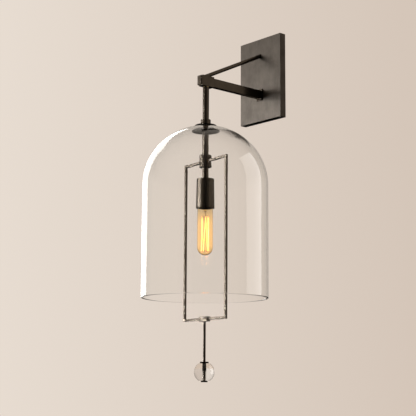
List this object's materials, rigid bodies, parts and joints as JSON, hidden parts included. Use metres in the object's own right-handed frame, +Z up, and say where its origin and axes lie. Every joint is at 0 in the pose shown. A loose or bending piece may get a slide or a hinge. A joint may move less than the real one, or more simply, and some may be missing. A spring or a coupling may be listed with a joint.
{
  "type": "hanging pendant wall sconce",
  "caption": "Wall light: a rectangular plate holds an arm and a strut, with a clear glass bell, a tubular bulb in a thin square frame and a glass ball hanging below.",
  "frame": {"origin": "centre of the wall plate's back face, on the wall", "axes": "+Z up, +Y into the wall, +X to the right as seen from the room"},
  "size_m": [0.2504, 0.2929, 0.7248],
  "materials": {
    "bronze": "dark bronze, satin with a fine brushed grain",
    "plate_bronze": "bronze, brushed from top to bottom",
    "zinc_steel": "zinc-plated steel",
    "ground_green": "green-coated screw",
    "brass": "plain brass",
    "rubber": "black rubber",
    "clear_glass": "clear blown glass",
    "crystal": "clear polished crystal",
    "phenolic": "black moulded phenolic",
    "black_glass": "black glass insulator",
    "bulb_glass": "clear lamp glass",
    "filament": "glowing filament",
    "support_wire": "fine wire"
  },
  "bodies": {
    "bracket": {"backplate": "plate_bronze", "mounting_strap": "zinc_steel", "strap_ground_screw": "ground_green", "plate_set_screws": "zinc_steel", "arm_tube": "bronze", "arm_flange": "bronze", "arm_root_plug": "zinc_steel", "arm_root_screws": "zinc_steel", "end_block": "bronze", "end_block_cap": "bronze", "strut_rod": "bronze", "strut_washer": "zinc_steel", "strut_nut": "zinc_steel"},
    "lantern": {"swivel_stud": "zinc_steel", "thrust_washer": "brass", "upper_stem": "bronze", "glass_nipple": "zinc_steel", "glass_collar": "bronze", "top_washer": "bronze", "upper_gasket": "rubber", "glass_cloche": "clear_glass", "lower_gasket": "rubber", "holder_disc": "bronze", "lower_stem": "bronze", "hub_top_ring": "bronze", "hub_body": "bronze", "hub_bottom_ring": "bronze", "frame_top_bar_left": "bronze", "frame_top_bar_right": "bronze", "frame_side_rod_left": "bronze", "frame_side_rod_right": "bronze", "frame_bottom_bar": "bronze", "foot_block": "bronze", "drop_rod": "bronze", "ball_washer": "bronze", "finial_nut": "bronze", "socket_stem": "bronze", "socket_cup": "bronze", "cup_nut": "zinc_steel", "socket_insulator": "phenolic", "screw_shell": "brass", "centre_contact": "brass"},
    "bulb": {"bulb_contact": "brass", "bulb_tip_insulator": "black_glass", "bulb_base": "brass", "bulb_glass": "bulb_glass", "bulb_mount": "bulb_glass", "filament": "filament", "filament_supports": "support_wire", "lead_wires": "support_wire"},
    "ball": {"crystal_ball": "crystal"}
  },
  "joints": [
    {"name": "lantern_swivel", "type": "hinge", "parent": "bracket", "child": "lantern", "pos_m": [0, -0.1677, -0.0443], "axis": [0, 0, 1], "range_deg": [-170, 170]},
    {"name": "bulb_turn", "type": "hinge", "parent": "lantern", "child": "bulb", "pos_m": [0, -0.1677, -0.26], "axis": [0, 0, 1], "continuous": true},
    {"name": "ball_spin", "type": "hinge", "parent": "lantern", "child": "ball", "pos_m": [0, -0.1677, -0.6152], "axis": [0, 0, 1], "continuous": true}
  ]
}
